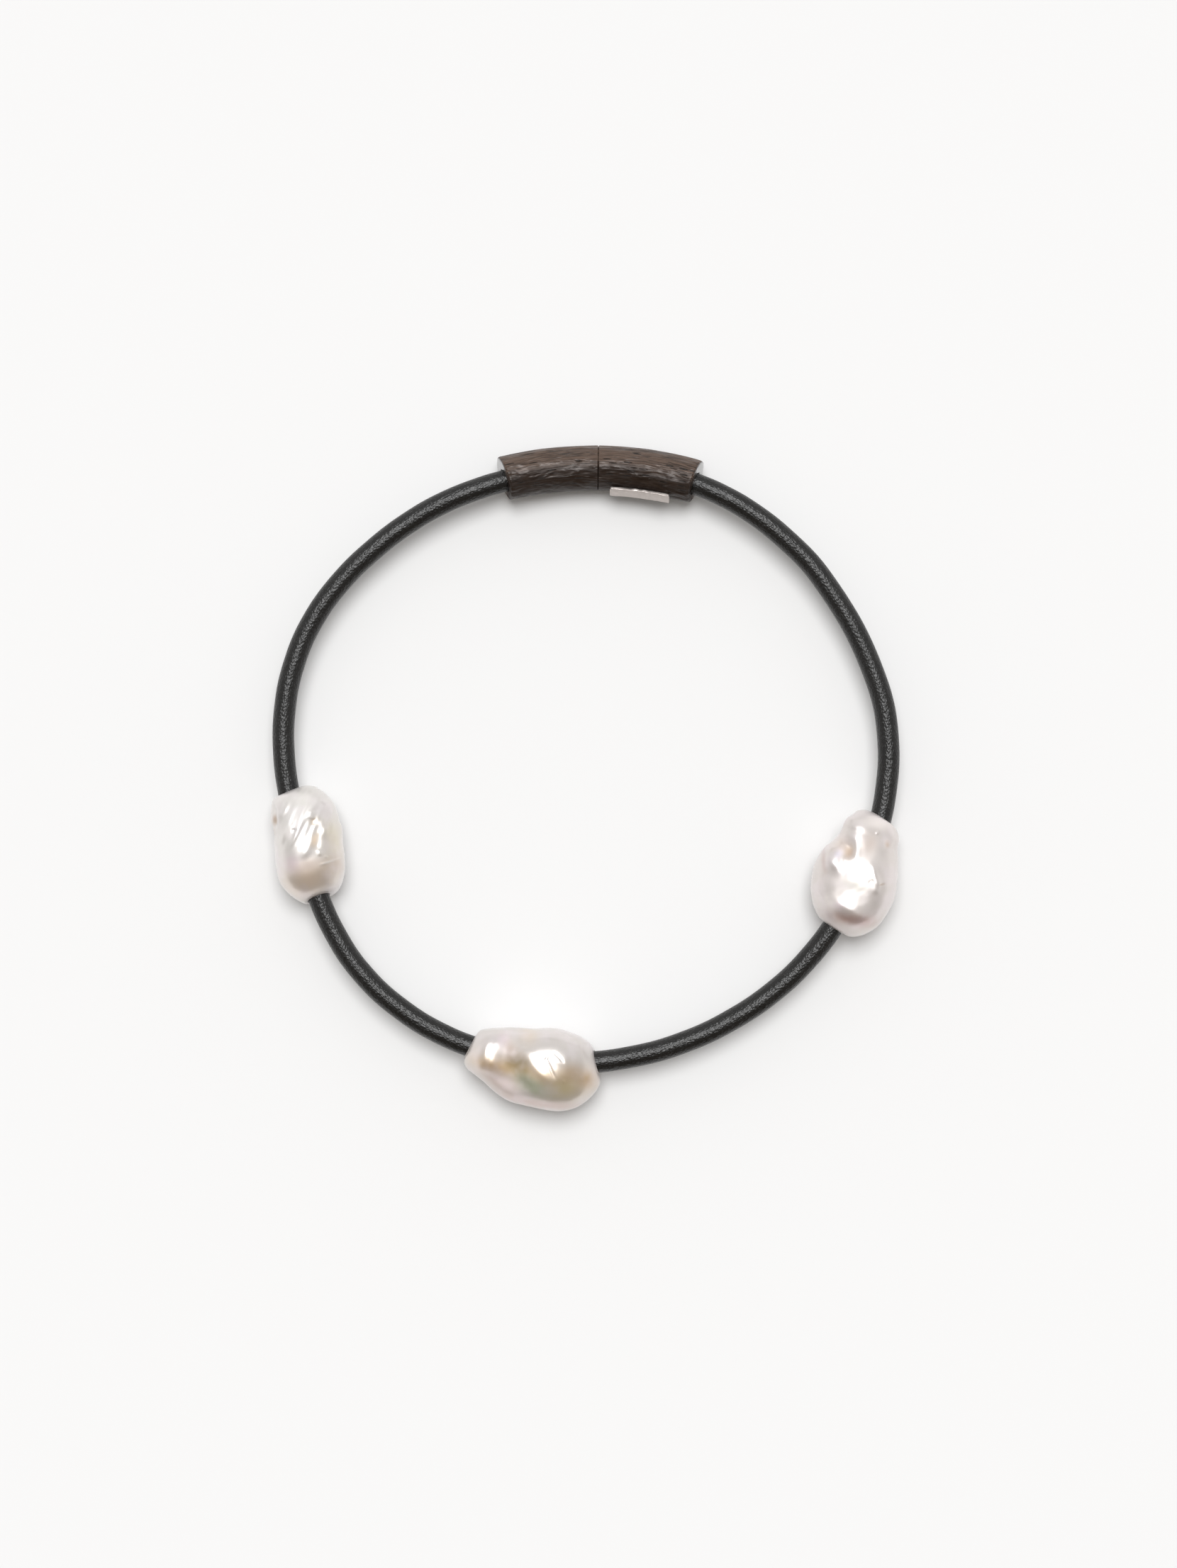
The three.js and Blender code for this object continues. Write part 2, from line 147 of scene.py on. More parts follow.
def unit(vectors):
    return vectors / np.linalg.norm(vectors, axis=1, keepdims=True)


def bend_to_cord(along, out, up):
    """Places in metres of points given beside the cord's line in millimetres."""
    forward = unit(along_line(np.gradient(line, line_ruler, axis=0), along))
    outwards = unit(np.cross(forward, (0, 0, 1)))
    upwards = np.cross(outwards, forward)
    places = along_line(line, along) + outwards * out[:, None] + upwards * up[:, None]
    return places * MM


def distance_at(angle):
    """How far along the line it passes an angle round the ring's middle."""
    around = np.degrees(np.unwrap(np.arctan2(*(line - RING_MIDDLE)[:, 1::-1].T)))
    return np.interp(angle, around, line_ruler)


print("the front pearl sits", round(distance_at(260), 1), "mm along")

# %% [markdown]
# ## From a sheet to a tube
#
# A grid that is rolled up makes a tube whose faces run in neat rings. The two
# edges that meet are merged, open ends are filled, and each vertex remembers
# its straight place in an attribute, so a material can follow the piece.

# %% Rolled sheets
def sheet(rings, sides):
    """A flat grid with each vertex's share of the length and its angle round."""
    grid = bmesh.new()
    bmesh.ops.create_grid(grid, x_segments=rings, y_segments=sides, size=0.5)
    flat = np.array([vertex.co for vertex in grid.verts])
    return grid, flat[:, 0] + 0.5, (flat[:, 1] + 0.5) * 2 * math.pi


def make_piece(shape, places, memories, name, node):
    """Closes a bmesh whose vertices go to those places, as a named object."""
    for memory, values in memories.items():
        layer = shape.verts.layers.float_vector.new(memory)
        for vertex, value in zip(shape.verts, values):
            vertex[layer] = value
    for vertex, place in zip(shape.verts, places):
        vertex.co = place
    bmesh.ops.remove_doubles(shape, verts=shape.verts, dist=1e-7)
    rims = [edge for edge in shape.edges if edge.is_boundary]
    bmesh.ops.holes_fill(shape, edges=rims)
    bmesh.ops.recalc_face_normals(shape, faces=shape.faces)
    for face in shape.faces:
        face.smooth = True
    mesh = bpy.data.meshes.new(name)
    shape.to_mesh(mesh)
    shape.free()
    piece = bpy.data.objects.new(name, mesh)
    scene.collection.objects.link(piece)
    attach(piece, "root")
    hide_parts(node)
    print(name, "has", len(mesh.polygons), "faces")
    return piece


def smoothstep(value):
    value = np.clip(value, 0, 1)
    return value * value * (3 - 2 * value)


def lumps(points, size):
    """Smooth noise from -1 to 1 with lumps of that many millimetres."""
    return np.array([noise.noise(Vector(point)) for point in points / size])


# %% [markdown]
# ## The leather cord
#
# Round leather is cut as a square strip and drawn through a die, so it is even
# but not machined. The tube gets a slow unevenness of a few hundredths of a
# millimetre. Its crackle is far finer than its mesh, and is left to the material.

# %% Leather cord
CORD_RADIUS = 2.6
CORD_SPARE = 0.4


def make_cord():
    shape, share, angle = sheet(rings=1000, sides=40)
    along = CORD_SPARE + share * (line_length - 2 * CORD_SPARE)
    straight = np.stack(
        [along, CORD_RADIUS * np.cos(angle), CORD_RADIUS * np.sin(angle)], axis=1
    )
    swell = 1 + 0.008 * lumps(straight, 5.0) + 0.004 * lumps(straight, 1.2)
    places = bend_to_cord(along, straight[:, 1] * swell, straight[:, 2] * swell)
    memories = {"straight": straight * MM}
    return make_piece(shape, places, memories, "cord", "leather_cord")


cord = make_cord()

# %% [markdown]
# ## The pearls
#
# A baroque pearl grows without a mould, so no primitive fits it. Its skin is
# described as a cook would slice it: a table of sections along the cord, each
# with its half widths and heights. A smooth curve through each column gives as
# many rings as wanted. Folds, dimples and ridges are then pressed into the top
# as strokes, the way a sculpting brush would lay them.

# %% Reading a table smoothly
def smooth_table(rows, places):
    """The columns of a table as smooth curves, at places counted in rows."""
    table = np.array(rows, float)
    slope = np.gradient(table, axis=0)
    left = np.clip(np.floor(places).astype(int), 0, len(table) - 2)
    t = (places - left)[:, None]
    return (
        table[left] * (1 + 2 * t) * (1 - t) ** 2
        + slope[left] * t * (1 - t) ** 2
        + table[left + 1] * (3 - 2 * t) * t**2
        + slope[left + 1] * (t - 1) * t**2
    )


# %% [markdown]
# The tables hold, in millimetres, for each section: its place along the cord,
# its half width inwards and outwards, its half height above and below, and how
# far it leans ahead per millimetre outwards and upwards.

# %% Sections of the pearls
PEARLS = {
    "pearl_left": (195, [
        (-13.1, 4.2, 3.6, 3.9, 4.1, 0.2, 0), (-12.3, 6.7, 4.1, 5.2, 5.5, 0.1, 0),
        (-10.7, 8.8, 4.6, 6.6, 6.9, 0, 0), (-8.0, 10.1, 5.3, 7.6, 8.0, 0, 0),
        (-4.5, 10.5, 5.3, 8.1, 8.5, 0, 0), (-1.0, 10.4, 6.1, 8.2, 8.7, 0, 0),
        (2.5, 9.8, 6.9, 8.2, 8.7, 0, 0), (6.0, 9.1, 7.4, 7.8, 8.3, 0, 0),
        (8.8, 8.3, 6.7, 6.9, 7.4, 0, -0.04), (11.0, 7.0, 5.5, 5.7, 6.2, 0, -0.1),
        (12.4, 5.7, 4.4, 4.6, 5.0, 0, -0.18), (13.0, 4.4, 3.7, 3.7, 4.0, 0, -0.25),
    ]),
    "pearl_front": (260, [
        (-15.7, 3.8, 3.8, 3.7, 3.9, -0.14, 0), (-14.8, 4.6, 5.2, 5.1, 5.4, -0.08, 0),
        (-13.0, 5.3, 6.2, 6.5, 6.7, 0, 0), (-10.5, 6.2, 7.3, 7.3, 7.6, 0, 0),
        (-7.5, 7.0, 9.0, 7.1, 8.0, 0, 0), (-4.5, 7.4, 10.3, 7.6, 8.4, 0, 0),
        (-1.5, 7.6, 10.7, 8.7, 8.8, 0, 0), (2.0, 8.2, 11.1, 9.2, 8.9, 0, 0),
        (5.5, 8.1, 11.4, 9.1, 8.8, 0, 0), (8.5, 7.3, 10.9, 8.3, 8.1, 0, 0),
        (11.2, 6.2, 9.4, 7.0, 7.0, 0.02, 0), (13.3, 4.8, 7.0, 5.3, 5.6, 0.08, -0.06),
        (14.3, 3.8, 4.6, 3.8, 4.1, 0.16, -0.12),
    ]),
    "pearl_right": (338, [
        (-12.9, 3.9, 4.2, 3.9, 4.2, 0, 0), (-12.1, 5.4, 5.7, 5.1, 5.5, 0, 0),
        (-10.5, 7.4, 7.3, 6.6, 7.0, 0, 0), (-7.5, 9.5, 8.9, 8.1, 8.4, 0, 0),
        (-4.0, 10.7, 9.5, 8.9, 9.0, 0, 0), (-0.5, 11.2, 9.4, 9.1, 9.1, 0, 0),
        (3.0, 10.9, 8.4, 8.7, 8.9, 0, 0), (6.5, 9.4, 7.1, 7.8, 8.2, 0, 0),
        (9.5, 8.2, 5.9, 6.9, 7.2, -0.02, 0), (12.2, 7.4, 5.5, 6.0, 6.2, -0.08, 0),
        (14.3, 6.0, 4.7, 4.9, 5.1, -0.22, 0), (15.3, 4.0, 3.7, 3.7, 3.9, -0.3, 0),
    ]),
}
BORE_RADIUS = 2.75
# 2 gives elliptic sections, and more gives fuller ones
FULLNESS = 2.15

# %% [markdown]
# The strokes are read as seen from above. Each has its middle along the cord
# and outwards, its half length and half width, its turn from the cord's
# direction in degrees, and its height, which is negative where it presses in.

# %% Strokes on the pearls
STROKES = {
    "pearl_left": [
        (-1.6, -2.7, 3.0, 0.75, 38, -0.13), (0.5, -2.2, 3.0, 1.00, 39, 0.28),
        (-2.8, -6.8, 2.4, 1.00, 4, 0.36), (-4.8, -5.0, 0.8, 0.80, 0, -0.20),
        (-6.6, -4.8, 1.0, 1.00, 30, 0.22), (-3.9, -1.1, 3.6, 0.40, 41, 0.08),
        (0.0, -4.6, 1.8, 0.80, 25, -0.28), (2.9, -4.3, 0.7, 0.45, 0, 0.22),
        (4.3, -5.4, 0.3, 0.25, 0, 0.12), (5.8, -5.9, 2.1, 0.30, 90, 0.14),
        (-7.2, 0.0, 2.4, 0.40, 37, 0.14), (-3.9, 0.1, 0.4, 0.40, 0, -0.20),
        (-7.9, 4.2, 2.4, 0.60, 8, -0.90), (-9.7, 1.4, 1.4, 0.50, 35, -0.20),
    ],
    "pearl_front": [
        (-10.7, 0.0, 3.1, 6.0, 0, 0.72), (-10.7, -0.5, 3.6, 3.2, 0, -0.62),
        (-13.0, -0.8, 1.5, 3.0, 0, 0.40), (-7.8, 6.4, 4.6, 2.0, 12, -0.60),
        (-5.0, -6.0, 3.0, 3.0, 90, -0.50), (-4.5, 3.0, 3.4, 3.1, 90, -0.65),
        (2.2, -0.8, 5.0, 2.6, 20, -0.20), (0.2, 1.2, 5.0, 0.9, 40, 0.16),
        (-2.4, -2.6, 2.6, 1.6, 20, 0.24), (6.4, -1.6, 1.6, 2.2, 0, 0.20),
        (3.75, 0.9, 2.4, 0.24, 63, -0.18), (5.6, -1.9, 1.6, 0.28, 44, -0.20),
        (2.6, -1.5, 0.7, 0.25, 120, -0.14), (6.8, 3.8, 0.2, 0.2, 0, 0.10),
    ],
    "pearl_right": [
        (11.2, -5.8, 3.4, 2.8, -8, 1.50), (10.6, -5.6, 3.0, 1.5, -8, -0.25),
        (9.5, 1.6, 4.4, 3.2, 0, -0.90), (5.2, -5.5, 1.7, 1.2, 0, -0.45),
        (0.5, -0.5, 6.0, 4.0, -10, -0.50), (6.0, 5.0, 4.0, 2.4, 0, -0.50),
        (6.6, -3.8, 2.6, 0.9, -14, 0.30), (2.6, 2.2, 2.6, 0.8, -40, 0.30),
        (0.0, 4.0, 1.5, 0.8, -15, 0.20), (2.6, -8.2, 3.4, 2.0, -12, 1.30),
        (2.4, -6.2, 2.6, 0.5, -14, -0.25), (0.4, 2.2, 0.7, 0.5, 20, -0.08),
        (-8.4, 0.3, 5.4, 2.6, 90, 1.00), (12.6, -4.8, 1.6, 3.0, 0, 0.40),
        (11.7, -0.2, 0.45, 0.3, 40, 0.20), (1.0, 4.9, 0.6, 0.15, 51, -0.10),
    ],
}
# how high the fine folds stand, in millimetres
WRINKLES = {"pearl_left": 0.22, "pearl_front": 0.0, "pearl_right": 0.03}


def spot(along, out, length, width, turn, squareness=4):
    """1 in the middle of a turned oval, fading to 0 past its edge."""
    cosine, sine = math.cos(math.radians(turn)), math.sin(math.radians(turn))
    lengthwise = np.abs(along * cosine + out * sine) / length
    crosswise = np.abs(out * cosine - along * sine) / width
    return np.exp(-(lengthwise**squareness) - crosswise**2)


def pressed(along, out, strokes):
    """How far the strokes lift the skin at places seen from above."""
    lift = np.zeros_like(along)
    for middle, aside, length, width, turn, height in strokes:
        lift += height * spot(along - middle, out - aside, length, width, turn)
    return lift


# %% [markdown]
# A pearl is not one colour, and its tints are placed as the strokes are, with a
# colour and a strength, fading into the body colour. Pink where the skin is thin,
# lilac and brown pits are its own colours. Most other tints are painted light:
# the tan, olive, taupe, amber, moss, khaki, reed, sage and mauve patches, mostly
# on the side turned from the light, are painted reflection of the dim room and
# painted shade over the real mirror of it. Sand, mist and rose give matt places
# and the front rim painted shade, and the pale streaks are painted highlights.
# The same kind of table says where the skin has lost its mirror: there it is
# matt like chalk, and only its colour shows.

# %% Tints and painted light on the pearls
BODIES = {
    "pearl_left": (0.79, 0.755, 0.725), "pearl_front": (0.71, 0.665, 0.635),
    "pearl_right": (0.75, 0.695, 0.665),
}
COLOURS = {
    "tan": (0.86, 0.64, 0.42), "olive": (0.72, 0.62, 0.38), "sage": (0.60, 0.64, 0.50),
    "taupe": (0.84, 0.70, 0.58), "mauve": (0.54, 0.38, 0.34), "pink": (0.88, 0.74, 0.78),
    "lilac": (0.80, 0.76, 0.86), "brown": (0.42, 0.27, 0.15), "amber": (0.48, 0.34, 0.20),
    "pale": (0.95, 0.95, 0.93), "sand": (0.52, 0.43, 0.38), "painted_hollow_shade": (0.43, 0.33, 0.27),
    "rose": (0.67, 0.555, 0.515), "moss": (0.29, 0.20, 0.075), "reed": (0.22, 0.225, 0.15),
    "khaki": (0.25, 0.19, 0.08), "mist": (0.56, 0.54, 0.52),
}
# own tones mixed with painted reflection, painted shade and painted highlights
TINTS_AND_PAINTED_LIGHT = {
    "pearl_left": [
        # left pearl: the taupe, amber and olive patches are painted reflection of the dim room, the
        # tan hollows, sand and mist are painted shade, and the two pale streaks are painted
        # highlights
        (7.9, 0.0, 3.8, 5.4, 0, "taupe", 1.0), (7.2, -4.8, 2.6, 2.2, 0, "amber", 0.3),
        (3.6, 2.5, 2.0, 1.8, 0, "pink", 0.7), (-10.7, -3.0, 2.0, 2.0, 0, "sage", 0.3),
        (-4.8, -5.0, 0.9, 0.9, 0, "tan", 0.6), (-0.4, -4.0, 1.8, 0.9, 30, "tan", 0.6),
        (0.5, -8.0, 4.6, 2.4, 0, "olive", 0.4), (-7.3, 4.6, 1.2, 0.5, 8, "brown", 0.7),
        (-4.6, 5.1, 1.0, 0.3, 8, "brown", 0.4), (5.8, -5.9, 2.1, 0.25, 90, "pale", 0.6),
        (-8.0, -0.8, 4.2, 3.4, 18, "mist", 0.8), (-7.2, -0.3, 2.4, 0.3, 37, "pale", 0.9),
        (5.0, -0.6, 1.5, 3.4, 0, "sand", 0.7), (6.8, -7.2, 2.6, 1.6, 0, "amber", 0.35),
    ],
    "pearl_front": [
        # front pearl: the tan, moss, sage, reed, khaki, olive and amber patches on the side turned
        # from the light are painted reflection of the dim room and painted shade, and sand and rose
        # are painted shade on matt places and the rim; pink is its own
        (0.5, 3.2, 12.8, 2.9, 5, "tan", 0.75), (-9.5, 2.6, 4.0, 1.3, 5, "tan", 0.8),
        (-5.4, 1.3, 2.6, 2.2, 0, "moss", 0.8), (-3.2, 1.6, 3.4, 1.9, 40, "moss", 0.9),
        (0.8, 6.0, 4.6, 2.2, 12, "sage", 0.9), (-1.6, 4.7, 2.7, 1.8, 25, "reed", 0.9),
        (-3.6, -0.4, 2.0, 1.7, 25, "khaki", 0.95), (6.6, 5.2, 3.6, 2.7, 0, "olive", 0.8),
        (8.6, 1.8, 2.6, 2.2, 10, "amber", 0.65), (5.0, 3.6, 3.0, 1.2, 0, "amber", 0.25),
        (11.8, 3.6, 1.7, 2.0, 15, "amber", 0.9),
        (-8.6, -4.0, 1.6, 1.5, 0, "pink", 0.6), (-6.8, 6.3, 4.6, 2.0, 20, "rose", 0.9),
        (-2.4, -6.3, 2.4, 2.4, 0, "tan", 0.25), (2.0, 9.7, 9.0, 1.4, 3, "rose", 1.0),
        (-6.6, -2.2, 1.8, 2.2, 0, "sand", 0.9), (-9.0, 2.5, 3.6, 1.4, 5, "amber", 0.55),
    ],
    "pearl_right": [
        # right pearl: the first two are painted shade in the hollow that faces away from the light,
        # the mauve band and line are painted reflection and painted shade, and sand is painted shade
        # on a matt place; lilac, pink and brown are its own
        (5.0, -5.3, 1.7, 1.2, 0, "painted_hollow_shade", 0.9), (6.0, -6.6, 2.5, 1.8, 0, "tan", 0.3),
        (-9.0, 2.6, 5.2, 1.4, 68, "mauve", 1.0), (1.0, -9.6, 3.2, 0.7, -20, "mauve", 0.5),
        (0.6, -3.7, 1.2, 0.8, 0, "lilac", 0.6), (3.6, -7.0, 1.4, 0.6, 0, "lilac", 0.7),
        (8.6, -1.4, 2.6, 2.0, 0, "sand", 0.6), (-7.5, -1.7, 1.5, 1.0, 0, "pink", 0.5),
        (9.9, 3.2, 0.9, 0.6, -30, "brown", 0.5), (1.0, 4.9, 0.8, 0.15, 53, "brown", 0.6),
        (-2.0, -1.0, 2.5, 2.5, 0, "sage", 0.3),
    ],
}
MATT = {
    "pearl_left": [
        (-8.0, -1.2, 3.8, 3.0, 20, 0.9), (-10.5, -3.0, 1.8, 3.4, 0, 0.8),
        (-0.4, -4.4, 1.4, 0.8, 30, 0.7), (-4.4, 1.8, 2.4, 1.0, 0, 0.8),
        (5.0, -0.6, 1.6, 3.4, 0, 0.8), (12.5, 0.0, 1.4, 4.5, 0, 0.7),
    ],
    "pearl_front": [
        (-6.7, -2.4, 1.9, 3.2, 0, 1.0), (-5.4, 1.5, 2.6, 2.5, 0, 1.0), (-3.3, 1.8, 3.4, 1.9, 40, 1.0),
        (-1.9, 4.7, 2.6, 1.8, 25, 1.0), (-3.6, -0.4, 2.1, 1.8, 25, 1.0),
        (-6.8, 6.2, 4.4, 1.8, 20, 1.0), (12.4, 3.2, 1.4, 1.8, 15, 0.6),
        (-14.6, -1.0, 1.2, 3.5, 0, 0.9), (14.2, 0.5, 2.0, 5.0, 0, 0.9),
    ],
    "pearl_right": [
        (4.9, -5.4, 1.7, 1.2, 0, 1.0), (-2.4, -2.4, 1.4, 3.8, -16, 0.95),
        (0.0, -4.0, 3.0, 1.0, -16, 0.9), (7.6, -1.2, 3.2, 1.8, 0, 1.0),
        (3.6, -6.6, 1.8, 0.5, -14, 0.8), (-5.0, -3.2, 1.7, 1.4, 0, 1.0),
        (-4.0, 1.9, 1.2, 1.8, -30, 0.9), (9.9, 3.2, 1.2, 0.9, -30, 0.8),
        (-9.2, -3.6, 1.6, 1.8, 0, 0.7), (14.2, 0.0, 1.6, 4.5, 0, 0.8),
        (-12.6, 0.0, 1.6, 4.5, 0, 0.8),
    ],
}


def covered(along, out, up, places):
    """Each listed place's colour or nothing, and how strongly it covers."""
    above = smoothstep(up / 2)
    for middle, aside, length, width, turn, *colour, strength in places:
        reach = spot(along - middle, out - aside, length, width, turn, squareness=2.5)
        yield colour, (strength * above * reach)[:, None]


def tinted_with_painted_light(node, along, out, up):
    """The skin's own colour and its painted light at places seen from above."""
    skin = np.tile(BODIES[node], (len(along), 1))
    for (name,), mask in covered(along, out, up, TINTS_AND_PAINTED_LIGHT[node]):
        skin = skin * (1 - mask) + np.array(COLOURS[name]) * mask
    return skin


def matted(node, along, out, up):
    """1 where the skin has lost its gloss, in every column."""
    gloss = np.ones((len(along), 3))
    for _, mask in covered(along, out, up, MATT[node]):
        gloss *= 1 - mask
    return 1 - gloss


# %% [markdown]
# Lengthwise, a pearl's tube runs from the middle of the bore out to one rim,
# over the whole skin to the other rim, and back in to where it began. A few
# extra sections make the drilled edge, which is crisp on a real pearl.

# %% Pearl skins
# how much wider than the bore, and how deep in it
DRILLED_EDGE = [(0.12, 0.0), (0.0, 0.15), (0.0, 1.0)]
PEARL_RINGS, PEARL_SIDES = 190, 220
RINGS_IN_BORE = 12
FOLD_SLANT = math.radians(37)


def pearl_sections(rows):
    """The table with the drilled rims and the bore's wall at both ends."""

    def rim(row):
        side = math.copysign(1, row[0])
        return [
            (row[0] - side * depth, *[BORE_RADIUS + wider] * 4, *row[5:])
            for wider, depth in DRILLED_EDGE
        ]

    first, last = rows[0], rows[-1]
    bore_middle = ((first[0] + last[0]) / 2, *[BORE_RADIUS] * 4, 0, 0)
    before = [bore_middle, *reversed(rim(first))]
    after = [*rim(last), bore_middle]
    return before + rows + after, len(before)


def folds(along, out, up):
    """Noise that is drawn out into fine folds across the skin."""
    cosine, sine = math.cos(FOLD_SLANT), math.sin(FOLD_SLANT)
    lengthwise = along * cosine + out * sine
    crosswise = out * cosine - along * sine
    return lumps(np.stack([lengthwise / 4, crosswise, up / 4], axis=1), 1.1)


def skin_lift(node, along, out, up):
    """How far the skin stands off its smooth sections, in millimetres."""
    straight = np.stack([along, out, up], axis=1)
    lift = pressed(along, out, STROKES[node]) * smoothstep(up / 3)
    lift += 0.07 * lumps(straight, 4.5) + 0.025 * lumps(straight, 1.8)
    # the folds die out past the middle
    lift += WRINKLES[node] * folds(along, out, up) * smoothstep((2 - along) / 5)
    return lift


def make_pearl(node, angle, rows):
    sections, extra = pearl_sections(rows)
    shape, share, turn = sheet(PEARL_RINGS, PEARL_SIDES)
    edge = RINGS_IN_BORE / PEARL_RINGS
    skin = np.clip((share - edge) / (1 - 2 * edge), 0, 1)
    final = len(sections) - 1
    places = np.interp(share, [0, edge, 1 - edge, 1], [0, extra, final - extra, final])
    table = smooth_table(sections, places)
    along, inner, outer, over, under, lean, rake = table.T
    cosine, sine = np.cos(turn), np.sin(turn)
    power = 2 / FULLNESS
    out = np.sign(cosine) * np.abs(cosine) ** power * np.where(cosine > 0, outer, inner)
    up = np.sign(sine) * np.abs(sine) ** power * np.where(sine > 0, over, under)
    along = along + lean * out + rake * up
    # nothing is lifted at the rims, and everything from a fourteenth of the way in
    on_skin = smoothstep(skin * 14) * smoothstep((1 - skin) * 14)
    grow = 1 + on_skin * skin_lift(node, along, out, up) / np.hypot(out, up)
    placed = bend_to_cord(distance_at(angle) + along, out * grow, up * grow)
    memories = {
        "straight": np.stack([along, out, up], axis=1) * MM,
        # the tint holds painted light as well as the skin's own tones
        "tint": tinted_with_painted_light(node, along, out, up),
        "matt": matted(node, along, out, up),
    }
    return make_piece(shape, placed, memories, node + "_skin", node)


pearls = [make_pearl(node, *table) for node, table in PEARLS.items()]

# %% [markdown]
# ## The clasp
#
# The clasp is a turned wooden rod, bent to the ring's curve and sawn in two.
# Each half is a profile spun round its own straight axis: seam face, barrel,
# end face and the socket for the cord. A soft edge is left where the maker's
# sandpaper went over the corners. The rod is bent last, in a plane that is
# rolled so that its hollow side looks inwards and up.

# %% Clasp's bend
CLASP_MIDDLE = RING_MIDDLE + (2.65, 71.8, 5.4)
CLASP_TURN = math.radians(-0.7)
CLASP_ROLL = math.radians(32)
BEND_RADIUS = 75.0
# degrees of bend from the seam to the end faces
LEFT_END, RIGHT_END = 17.4, 18.1
# the end faces turn further than the bend, to lie square to the cord
FACE_TURN = 1.22

chord = np.array((math.cos(CLASP_TURN), math.sin(CLASP_TURN), 0))
level = np.cross(chord, (0, 0, 1))
concave = level * math.cos(CLASP_ROLL) + np.array((0, 0, 1)) * math.sin(CLASP_ROLL)
crosswise = np.cross(chord, concave)


def bend_to_clasp(along, hollow, across, face_turn):
    """Places in metres of points beside the clasp's straight axis."""
    bend = along / BEND_RADIUS
    face = bend * face_turn
    east = BEND_RADIUS * np.sin(bend) - hollow * np.sin(face)
    south = BEND_RADIUS * (1 - np.cos(bend)) + hollow * np.cos(face)
    places = east[:, None] * chord + south[:, None] * concave + across[:, None] * crosswise
    return (CLASP_MIDDLE + places) * MM


# %% Wooden halves
GROOVE_DEPTH, GROOVE_WIDTH = 0.35, 0.2
SEAM_RADIUS = 5.4
END_RADIUS = 5.3
PIN_HOLE_RADIUS, PIN_HOLE_DEPTH = 1.9, 4.3
SOCKET_DEPTH = 8.6
# how far the sandpaper took the corner of an end face
CORNER = 0.4
# the stretch at an end face that is worn most
WORN_LENGTH = 2.5
BARREL_STEPS = 80
WOOD_SIDES = 120


def barrel_profile(length):
    """The half section of one half: distance from the seam, and from the axis."""
    barrel = [
        (length * i / BARREL_STEPS,
         SEAM_RADIUS + (END_RADIUS - SEAM_RADIUS) * (i / BARREL_STEPS) ** 2)
        for i in range(BARREL_STEPS + 1)
    ]
    groove = GROOVE_WIDTH / 2
    return [
        # the pin's hole, the seam's face and its groove
        (PIN_HOLE_DEPTH, 0), (PIN_HOLE_DEPTH, PIN_HOLE_RADIUS), (0, PIN_HOLE_RADIUS),
        (0, SEAM_RADIUS - 1.0), (0, SEAM_RADIUS - GROOVE_DEPTH),
        (groove, SEAM_RADIUS - 0.08), (groove + 0.1, SEAM_RADIUS),
        *[point for point in barrel if groove + 0.15 <= point[0] <= length - CORNER],
        # the sanded corner, the end face and the socket
        (length - CORNER * 0.3, END_RADIUS - CORNER * 0.3), (length, END_RADIUS - CORNER),
        (length, END_RADIUS - 1.0), (length, BORE_RADIUS + 0.4), (length, BORE_RADIUS + 0.1),
        *[(length - depth, BORE_RADIUS) for depth in (0.1, 1.0, 2.0, 4.0, 6.0, SOCKET_DEPTH)],
        (length - SOCKET_DEPTH, 0),
    ]


def off_axis(along):
    """How far the cord's line lies from the clasp's axis, in metres."""
    cord_line = along_line(line, line_length * np.linspace(0, 1, 8000))
    zero = np.zeros(1)
    offsets = []
    for distance in along:
        middle = bend_to_clasp(np.array([distance]), zero, zero, FACE_TURN)[0]
        gaps = cord_line * MM - middle
        offsets.append(gaps[(gaps**2).sum(axis=1).argmin()])
    return np.array(offsets)


def worn(straight, radius, length, side):
    """What each vertex's radius is multiplied by, most unevenly near the end face."""
    barrel = smoothstep((radius - BORE_RADIUS - 1) / 1.2)
    grow = 1 + barrel * 0.012 * lumps(straight * (0.35, 1, 1) + 20 * side, 3.0)
    near_end = smoothstep((straight[:, 0] - length + WORN_LENGTH) / WORN_LENGTH) * barrel
    return grow + near_end * (0.028 * lumps(straight + 7 * side, 1.6) - 0.010)


def make_half(node, side, end):
    length = math.radians(end) * BEND_RADIUS
    shape = bmesh.new()
    profile = [shape.verts.new((x, radius, 0)) for x, radius in barrel_profile(length)]
    edges = [shape.edges.new(pair) for pair in zip(profile, profile[1:])]
    bmesh.ops.spin(
        shape, geom=profile + edges, cent=(0, 0, 0), axis=(1, 0, 0),
        angle=2 * math.pi, steps=WOOD_SIDES, use_merge=True,
    )
    bmesh.ops.remove_doubles(shape, verts=shape.verts, dist=1e-4)
    straight = np.array([vertex.co for vertex in shape.verts])
    radius = np.hypot(straight[:, 1], straight[:, 2])
    grow = worn(straight, radius, length, side)
    sawn = np.zeros_like(straight)
    sawn[:, 0] = (straight[:, 0] > length - 0.02) & (radius < END_RADIUS - 0.2)
    straight[:, 0] *= side
    straight[:, 2] *= side
    placed = bend_to_clasp(
        straight[:, 0], straight[:, 1] * grow, straight[:, 2] * grow, FACE_TURN
    )
    socket = (radius < BORE_RADIUS + 0.5) & (np.abs(straight[:, 0]) > length - SOCKET_DEPTH - 0.1)
    depths, which = np.unique(np.round(straight[socket, 0], 3), return_inverse=True)
    placed[socket] += off_axis(depths)[which]
    memories = {"straight": straight * MM, "sawn": sawn}
    return make_piece(shape, placed, memories, node + "_wood", node)


halves = [make_half("clasp_left", -1, LEFT_END), make_half("clasp_right", 1, RIGHT_END)]

